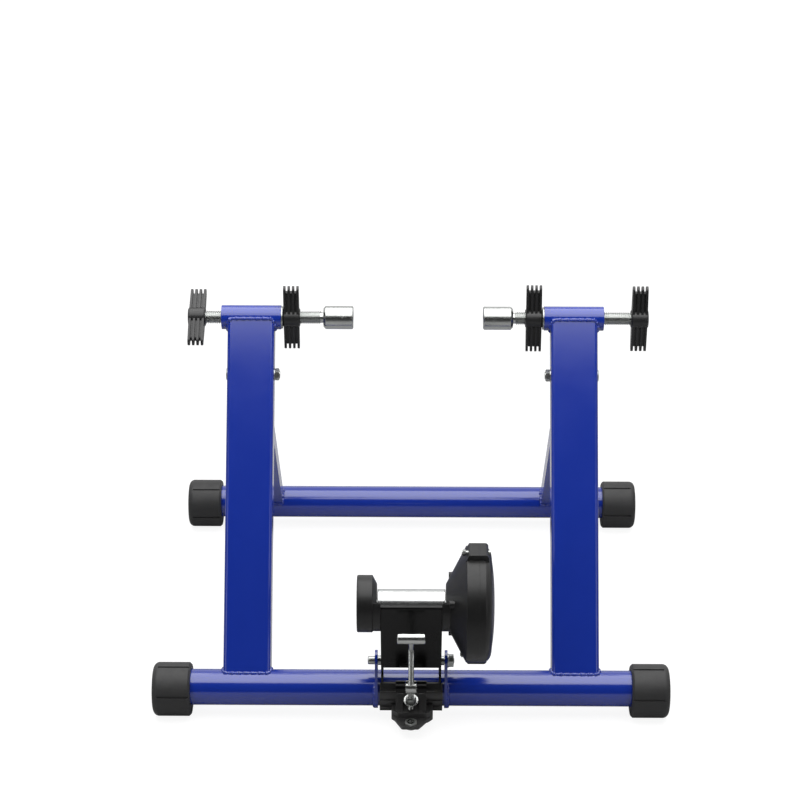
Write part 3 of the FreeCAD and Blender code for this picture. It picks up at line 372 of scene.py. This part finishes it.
def threadRidge(plan, start, end):
    pitch, root, crest = plan["pitch"] * mm, plan["root"] * mm, plan["crest"] * mm
    sunk = ridgeForm["sunk"] * mm
    deselect()
    bpy.ops.mesh.primitive_plane_add(size=1, location=(0, 0, 0), rotation=(math.radians(90), 0, 0))
    ridge = bpy.context.object
    ridge.scale = (ridgeForm["baseShare"] * pitch, crest - root + sunk, 1)
    ridge.location = (0, 0, (crest + root - sunk) / 2)
    settled(ridge)
    pick(ridge, "VERT", lambda middle, part: middle.z > (crest + root) / 2)
    bpy.ops.transform.resize(value=(ridgeForm["topShare"], 1, 1), center_override=(0, 0, crest))
    bpy.ops.object.mode_set(mode="OBJECT")
    turns = int((end - start) * mm / pitch) - 1
    applied(ridge, "SCREW", axis="X", angle=math.tau, screw_offset=pitch, steps=plan["steps"],
            render_steps=plan["steps"], iterations=turns, use_merge_vertices=False)
    for way in (-1, 1):
        limit = max(way * vert.co.x for vert in ridge.data.vertices) - pitch * ridgeForm["endShare"]
        found = pick(ridge, "EDGE", lambda middle, part: part.is_boundary and way * middle.x > limit)
        if found:
            bpy.ops.mesh.edge_face_add()
        bpy.ops.object.mode_set(mode="OBJECT")
    ridge.location = ((start + plan["pitch"] / 2) * mm, 0, 0)
    return settled(ridge)


def steppedCore(plan, start, end, steps):
    # The end at +X goes on in steps of a length and the radius it ends with.
    deselect()
    radius = plan["root"]
    bpy.ops.mesh.primitive_cylinder_add(vertices=40, radius=radius * mm, depth=(end - start) * mm,
                                        location=((start + end) / 2 * mm, 0, 0),
                                        rotation=(0, math.radians(90), 0))
    core = settled(bpy.context.object)
    pick(core, "FACE", lambda middle, part: part.normal.x > 0.9)
    at = end
    for length, size in steps:
        value = (1, size / radius, size / radius)
        bpy.ops.mesh.extrude_region_move(TRANSFORM_OT_translate={"value": (length * mm, 0, 0)})
        at += length
        bpy.ops.transform.resize(value=value, center_override=(at * mm, 0, 0))
        radius = size
    bpy.ops.object.mode_set(mode="OBJECT")
    return core


# X counts from the cup's back towards the hub.
clampThread = {"pitch": 2.0, "root": 5.8, "crest": 6.98, "steps": 24, "rivetEnd": 12.25, "shoulder": -0.05,
               "startGap": 0.5, "endGap": 0.3,
               "nose": [(0, 5.0), (10.1, 5.0), (0, 6.8), (1.2, 6.8), (1.0, 5.8)]}
for side in ("left", "right"):
    low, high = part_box(side + "_clamp_rod")
    plan = clampThread
    length = (high.x - low.x) / mm
    start = plan["rivetEnd"] - length
    ridge = threadRidge(plan, start + plan["startGap"], plan["shoulder"] - plan["endGap"])
    core = steppedCore(plan, start, plan["shoulder"], plan["nose"])
    bar = joined([core, ridge], side + "ThreadedRod")
    if side == "left":
        bar.location = (high.x - plan["rivetEnd"] * mm, (low.y + high.y) / 2, (low.z + high.z) / 2)
    else:
        bar.location = (low.x + plan["rivetEnd"] * mm, (low.y + high.y) / 2, (low.z + high.z) / 2)
        bar.rotation_euler = (0, 0, math.pi)
    dressed(bar, "zincSteel", side + "_rod_body", 30)
    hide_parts(side + "_clamp_rod")
print("clamp rods threaded")

# X counts from the trunnion up to the handle.
screwThread = {"pitch": 1.0, "root": 2.45, "crest": 2.98, "steps": 16, "reach": 38.9, "tip": 0.9,
               "tipShare": 0.7, "plainFrom": 66.0, "plainRadius": 2.95, "runOut": 1.2}
trunnionAt = middleOf("trunnion")
handleAt = middleOf("tension_handle")
screwUp = (handleAt - trunnionAt).normalized()
screwTop = (handleAt - trunnionAt).length / mm
plan = screwThread
threadLow = -plan["reach"] + plan["tip"]
ridge = threadRidge(plan, threadLow, plan["plainFrom"])
core = steppedCore(plan, threadLow, plan["plainFrom"],
                   [(plan["runOut"], plan["plainRadius"]),
                    (screwTop - plan["plainFrom"] - plan["runOut"], plan["plainRadius"])])
pick(core, "FACE", lambda middle, part: part.normal.x < -0.9)
bpy.ops.mesh.extrude_region_move(TRANSFORM_OT_translate={"value": (-plan["tip"] * mm, 0, 0)})
bpy.ops.transform.resize(value=(1, plan["tipShare"], plan["tipShare"]),
                         center_override=(-plan["reach"] * mm, 0, 0))
bpy.ops.object.mode_set(mode="OBJECT")
bar = joined([core, ridge], "threadedTensionScrew")
bar.rotation_euler = screwUp.to_track_quat("X", "Y").to_euler()
bar.location = trunnionAt
dressed(bar, "zincSteel", "tension_screw_body", 30)
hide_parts("tension_screw")
print("tension screw threaded")


# Nuts with chamfered corners, built upright and then laid along their axis.
nutForm = {"crownShare": 0.999, "topShare": 0.99, "flangeShare": 1.02, "flangeEdge": 0.45, "drillShare": 3}


def chamferedNut(name, plan, at, axis):
    flats, height, bore = plan["flats"] * mm, plan["height"] * mm, plan["bore"] * mm
    corner = flats / math.sqrt(3)
    flange = plan.get("flange", 0) * mm
    deselect()
    bpy.ops.mesh.primitive_cylinder_add(vertices=6, radius=corner, depth=height,
                                        location=(0, 0, flange + height / 2))
    nut = settled(bpy.context.object)
    bpy.ops.mesh.primitive_cylinder_add(vertices=64, radius=corner * nutForm["crownShare"], depth=height,
                                        location=(0, 0, flange + height / 2))
    crown = settled(bpy.context.object)
    pick(crown, "EDGE", lambda middle, part: middle.z > flange + height * nutForm["topShare"])
    bpy.ops.mesh.bevel(offset=plan["chamfer"] * mm, offset_type="OFFSET", segments=2, affect="EDGES")
    bpy.ops.object.mode_set(mode="OBJECT")
    applied(nut, "BOOLEAN", object=crown, operation="INTERSECT", solver="EXACT")
    discarded(crown)
    if flange:
        thick = flange * nutForm["flangeShare"]
        bpy.ops.mesh.primitive_cylinder_add(vertices=64, radius=plan["flangeRadius"] * mm, depth=thick,
                                            location=(0, 0, thick / 2))
        foot = settled(bpy.context.object)
        pick(foot, "EDGE", lambda middle, part: middle.z > flange * nutForm["topShare"])
        bpy.ops.mesh.bevel(offset=flange * nutForm["flangeEdge"], offset_type="OFFSET", segments=3,
                           affect="EDGES")
        bpy.ops.object.mode_set(mode="OBJECT")
        applied(nut, "BOOLEAN", object=foot, operation="UNION", solver="EXACT")
        discarded(foot)
    depth = (height + flange) * nutForm["drillShare"]
    bpy.ops.mesh.primitive_cylinder_add(vertices=40, radius=bore, depth=depth, location=(0, 0, 0))
    drill = settled(bpy.context.object)
    applied(nut, "BOOLEAN", object=drill, operation="DIFFERENCE", solver="EXACT")
    discarded(drill)
    nut.name = name
    nut.rotation_euler = (0, 0, math.radians(plan["turn"]))
    settled(nut)
    nut.rotation_euler = axis.to_track_quat("Z", "Y").to_euler()
    nut.location = at
    return settled(nut)


earLow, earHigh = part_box("unit_ears")
pivotAt = middleOf("pivot_tube")
seatNutLow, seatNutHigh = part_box("seat_nut")
stopNutAt = middleOf("stop_nut")
nutPlans = {
    "stopHexNut": {"flats": 9.6, "height": 5.0, "bore": 2.9, "turn": 30, "chamfer": 0.7,
                   "at": stopNutAt - screwUp * 2.5 * mm, "axis": screwUp, "node": "stop_nut",
                   "body": "tension_screw_body"},
    "pivotFlangeNut": {"flats": 12.5, "height": 5.0, "bore": 3.99, "flange": 1.5, "flangeRadius": 7.4,
                       "turn": 8, "chamfer": 0.9, "at": Vector((earHigh.x, pivotAt.y, pivotAt.z)),
                       "axis": Vector((1, 0, 0)), "node": "pivot_nut"},
    "seatHexNut": {"flats": 12.0, "height": (seatNutHigh.z - seatNutLow.z) / mm, "bore": 3.0, "turn": 0,
                   "chamfer": 0.5, "at": Vector(((seatNutLow.x + seatNutHigh.x) / 2,
                                                 (seatNutLow.y + seatNutHigh.y) / 2, seatNutLow.z)),
                   "axis": Vector((0, 0, 1)), "node": "seat_nut"},
}
for name, plan in nutPlans.items():
    nut = chamferedNut(name, plan, plan["at"], plan["axis"])
    dressed(nut, "dullSteel", plan.get("body", "frame"), 30)
    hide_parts(plan["node"])
print("nuts chamfered")


# Weld beads: one drop, copied along the seam with small changes, melted together and smoothed.
dropForm = {"from": 0.2, "stretch": (1.35, 0.9, 0.9), "firstWave": 2.4, "secondWave": 0.83}


def weldBead(name, points, plan, body):
    deselect()
    bpy.ops.mesh.primitive_ico_sphere_add(subdivisions=3, radius=1 * mm, location=(0, 0, 0))
    drop = bpy.context.object
    pick(drop, "VERT", lambda middle, part: middle.x > dropForm["from"] * mm)
    bpy.ops.transform.resize(value=dropForm["stretch"], center_override=(0, 0, 0))
    bpy.ops.object.mode_set(mode="OBJECT")
    drops = []
    for k, (spot, along) in enumerate(points):
        copy = drop.copy()
        copy.data = drop.data.copy()
        bpy.context.scene.collection.objects.link(copy)
        wave = math.sin(k * dropForm["firstWave"]) * math.cos(k * dropForm["secondWave"] + 1)
        swell = 1 + plan["vary"] * wave
        copy.scale = (plan["long"] * swell, plan["wide"] * swell, plan["wide"] * swell)
        copy.rotation_euler = along.to_track_quat("X", "Z").to_euler()
        copy.location = spot
        drops.append(copy)
    discarded(drop)
    bead = joined(drops, name)
    settled(bead)
    applied(bead, "REMESH", mode="VOXEL", voxel_size=plan["voxel"] * mm)
    applied(bead, "SMOOTH", factor=0.5, iterations=3)
    return dressed(bead, "bluePaint", body, 60)


def outlineWalk(corners, radius, step, closed):
    # Points along a polygon in x and n whose corners are rounded.
    path = []
    count = len(corners)
    for k, corner in enumerate(corners):
        here = Vector(corner)
        if not closed and k in (0, count - 1):
            path.append(here)
            continue
        before = (Vector(corners[k - 1]) - here).normalized()
        after = (Vector(corners[(k + 1) % count]) - here).normalized()
        centre = here + (before + after) * radius
        for j in range(5):
            turn = math.pi / 2 * j / 4
            path.append(centre - after * radius * math.cos(turn) - before * radius * math.sin(turn))
    if closed:
        path.append(path[0])
    walk = []
    for a, b in zip(path, path[1:]):
        pieces = max(1, round((b - a).length / step))
        walk += [a + (b - a) * i / pieces for i in range(pieces)]
    if not closed:
        walk.append(path[-1])
    return walk


def seamOnTube(walk, middle, up, radius, way):
    # Lays a walk in x and n on a tube along X: way 1 above the tube's middle, -1 below it.
    rear = Vector((0, -up.z, up.y))
    spots = []
    for x, n in walk:
        rise = way * math.sqrt(max(radius * radius - n * n, 0))
        spots.append(middle + Vector((x * mm, 0, 0)) + rear * n * mm + up * rise * mm)
    points = []
    for k, spot in enumerate(spots):
        ahead = spots[min(k + 1, len(spots) - 1)]
        behind = spots[max(k - 1, 0)]
        points.append((spot, (ahead - behind).normalized()))
    return points


weldPlan = {"long": 1.35, "wide": 2.1, "vary": 0.3, "voxel": 0.45, "step": 1.9}
channel = {"half": 25.0, "depth": 12.5, "bend": 4.0, "tube": 19.0, "sleeve": 13.0}
legTube = {"half": 16.0, "depth": 10.0, "bend": 2.5}
earSeam = {"count": 24, "from": 140, "sweep": 100, "rise": 0.2}
rearTubeAt = middleOf("rear_base_tube")
frontTubeAt = middleOf("front_base_tube")
for side in ("left", "right"):
    sleeveAt = middleOf(side + "_axle_sleeve")
    uprightX = middleOf(side + "_upright").x
    up = Vector((0, sleeveAt.y - rearTubeAt.y, sleeveAt.z - rearTubeAt.z)).normalized()
    half, depth = channel["half"], channel["depth"]
    walk = outlineWalk([(-half, -depth), (-half, depth), (half, depth), (half, -depth)],
                       channel["bend"], weldPlan["step"], False)
    foot = Vector((uprightX, rearTubeAt.y, rearTubeAt.z))
    weldBead(side + "FootWeld", seamOnTube(walk, foot, up, channel["tube"], 1), weldPlan, "frame")
    head = Vector((uprightX, sleeveAt.y, sleeveAt.z))
    weldBead(side + "SleeveWeld", seamOnTube(walk, head, up, channel["sleeve"], -1), weldPlan, "frame")
    foldLow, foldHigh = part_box("fold_bolts")
    foldAt = Vector((0, (foldLow.y + foldHigh.y) / 2, (foldLow.z + foldHigh.z) / 2))
    legUp = Vector((0, foldAt.y - frontTubeAt.y, foldAt.z - frontTubeAt.z)).normalized()
    half, depth = legTube["half"], legTube["depth"]
    walk = outlineWalk([(-half, -depth), (-half, depth), (half, depth), (half, -depth)],
                       legTube["bend"], weldPlan["step"], True)
    toe = Vector((middleOf(side + "_leg").x, frontTubeAt.y, frontTubeAt.z))
    weldBead(side + "LegWeld", seamOnTube(walk, toe, legUp, channel["tube"], 1), weldPlan, "front_leg")
    way = -1 if side == "left" else 1
    earX = earLow.x if side == "left" else earHigh.x
    ring = []
    rise = earSeam["rise"] * mm
    for k in range(earSeam["count"]):
        turn = math.radians(earSeam["from"] + earSeam["sweep"] * k / (earSeam["count"] - 1))
        outward = Vector((0, math.cos(turn), math.sin(turn)))
        middle = Vector((earX + way * rise, rearTubeAt.y, rearTubeAt.z))
        spot = middle + outward * (channel["tube"] * mm + rise)
        ring.append((spot, Vector((0, -outward.z, outward.y))))
    weldBead(side + "EarWeld", ring, weldPlan, "frame")
print("welds laid")


# Floor, light and camera.
studio = {"floorColour": (0.93, 0.93, 0.93), "bounceColour": (0.45, 0.45, 0.45), "floorSize": 60.0,
          "whiteShare": 0.80, "whiteLevel": 1.12, "fadeFrom": 0.35, "fadeTo": 1.0, "roomLow": 0.10,
          "roomHigh": 0.30, "glossLow": 0.04, "glossHigh": 1.0, "whiteFrom": 64.0}



def makeFloorLook():
    # The camera sees mostly plain white, and the lit share of the floor keeps the object's shadow.
    look = bpy.data.materials.new("floorLook")
    look.use_nodes = True
    tree = look.node_tree
    link = tree.links.new
    lit = tree.nodes["Principled BSDF"]
    bounce = put(tree, "ShaderNodeMix", data_type="RGBA")
    bounce.inputs[6].default_value = (*studio["bounceColour"], 1)
    bounce.inputs[7].default_value = (*studio["floorColour"], 1)
    lit.inputs["Roughness"].default_value = 0.8
    lit.inputs["Specular IOR Level"].default_value = 0.15
    white = put(tree, "ShaderNodeEmission", in_Color=(1, 1, 1, 1), in_Strength=studio["whiteLevel"])
    path = put(tree, "ShaderNodeLightPath")
    link(path.outputs["Is Camera Ray"], bounce.inputs[0])
    link(bounce.outputs[2], lit.inputs["Base Color"])
    place = put(tree, "ShaderNodeTexCoord")
    distance = put(tree, "ShaderNodeVectorMath", operation="LENGTH")
    link(place.outputs["Object"], distance.inputs[0])
    fade = put(tree, "ShaderNodeMapRange", in_1=studio["fadeFrom"], in_2=studio["fadeTo"],
               in_3=studio["whiteShare"], in_4=1.0)
    link(distance.outputs["Value"], fade.inputs[0])
    share = put(tree, "ShaderNodeMath", operation="MULTIPLY")
    link(fade.outputs[0], share.inputs[1])
    mix = put(tree, "ShaderNodeMixShader")
    link(path.outputs["Is Camera Ray"], share.inputs[0])
    link(share.outputs[0], mix.inputs["Fac"])
    link(lit.outputs[0], mix.inputs[1])
    link(white.outputs[0], mix.inputs[2])
    link(mix.outputs[0], tree.nodes["Material Output"].inputs["Surface"])
    return look


bpy.ops.mesh.primitive_plane_add(size=studio["floorSize"], location=(0, 0, 0))
floor = bpy.context.object
floor.name = "studioFloor"
floor.data.materials.append(makeFloorLook())


def roomLight():
    # The room is white to the camera. For reflections it is white overhead and beyond the object only.
    world = bpy.data.worlds.new("studioWorld")
    bpy.context.scene.world = world
    world.use_nodes = True
    tree = world.node_tree
    link = tree.links.new
    ground = tree.nodes["Background"]
    ground.inputs["Color"].default_value = (1, 1, 1, 1)
    coords = put(tree, "ShaderNodeTexCoord")
    split = put(tree, "ShaderNodeSeparateXYZ")
    link(coords.outputs["Generated"], split.inputs[0])
    plain = put(tree, "ShaderNodeMapRange", in_1=0.2, in_2=0.95, in_3=studio["roomLow"],
                in_4=studio["roomHigh"])
    tilt = math.radians(studio["whiteFrom"])
    across = put(tree, "ShaderNodeVectorMath", operation="DOT_PRODUCT")
    across.inputs[1].default_value = (0, math.sin(tilt), math.cos(tilt))
    link(coords.outputs["Generated"], across.inputs[0])
    gloss = put(tree, "ShaderNodeMapRange", in_1=-0.06, in_2=0.12, in_3=studio["glossLow"],
                in_4=studio["glossHigh"])
    link(split.outputs["Z"], plain.inputs[0])
    link(across.outputs["Value"], gloss.inputs[0])
    path = put(tree, "ShaderNodeLightPath")
    mixed = put(tree, "ShaderNodeMix", data_type="FLOAT")
    link(path.outputs["Is Glossy Ray"], mixed.inputs[0])
    link(plain.outputs[0], mixed.inputs[2])
    link(gloss.outputs[0], mixed.inputs[3])
    seen = put(tree, "ShaderNodeMath", operation="MAXIMUM")
    link(path.outputs["Is Camera Ray"], seen.inputs[0])
    link(path.outputs["Is Transmission Ray"], seen.inputs[1])
    level = put(tree, "ShaderNodeMix", data_type="FLOAT", in_3=1.0)
    link(seen.outputs[0], level.inputs[0])
    link(mixed.outputs[0], level.inputs[2])
    link(level.outputs[0], ground.inputs["Strength"])


roomLight()


def softLight(name, spot, aim, size, power, mirrored):
    data = bpy.data.lights.new(name, "AREA")
    data.shape = "RECTANGLE"
    data.size, data.size_y = size
    data.energy = power
    lamp = bpy.data.objects.new(name, data)
    bpy.context.scene.collection.objects.link(lamp)
    lamp.location = spot
    lamp.visible_glossy = mirrored
    lamp.rotation_euler = (Vector(aim) - Vector(spot)).to_track_quat("-Z", "Y").to_euler()


lightPlan = {
    "overheadBox": ((0, -0.04, 1.25), (0, -0.04, 0), (1.8, 1.78), 32, True),
    "leftStrip": ((-1.3, -1.3, 0.75), (0, -0.1, 0.1), (0.7, 1.0), 3.4, True),
    "rightStrip": ((1.3, -1.3, 0.75), (0, -0.1, 0.1), (0.7, 1.0), 3.4, True),
}
for name, plan in lightPlan.items():
    softLight(name, *plan)

photo = {"focal": 2184.0, "pitch": 27.51, "roll": 0.25, "height": 1.303, "back": 1.946,
         "centre": (412.0, 471.0), "across": 800, "sensor": 36.0}
rearTubeLow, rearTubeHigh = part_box("rear_base_tube")
rearTubeY = (rearTubeLow.y + rearTubeHigh.y) / 2
cameraData = bpy.data.cameras.new("photoCamera")
camera = bpy.data.objects.new("photoCamera", cameraData)
bpy.context.scene.collection.objects.link(camera)
bpy.context.scene.camera = camera
cameraData.sensor_width = photo["sensor"]
cameraData.lens = photo["focal"] / photo["across"] * photo["sensor"]
cameraData.shift_x = -(photo["centre"][0] / photo["across"] - 0.5)
cameraData.shift_y = photo["centre"][1] / photo["across"] - 0.5
camera.location = (0, rearTubeY - photo["back"], photo["height"])
camera.rotation_euler = (math.radians(90 - photo["pitch"]), 0, 0)
camera.rotation_euler.rotate_axis("Z", math.radians(photo["roll"]))
bpy.context.scene.view_settings.view_transform = "Standard"
print("camera and light set")
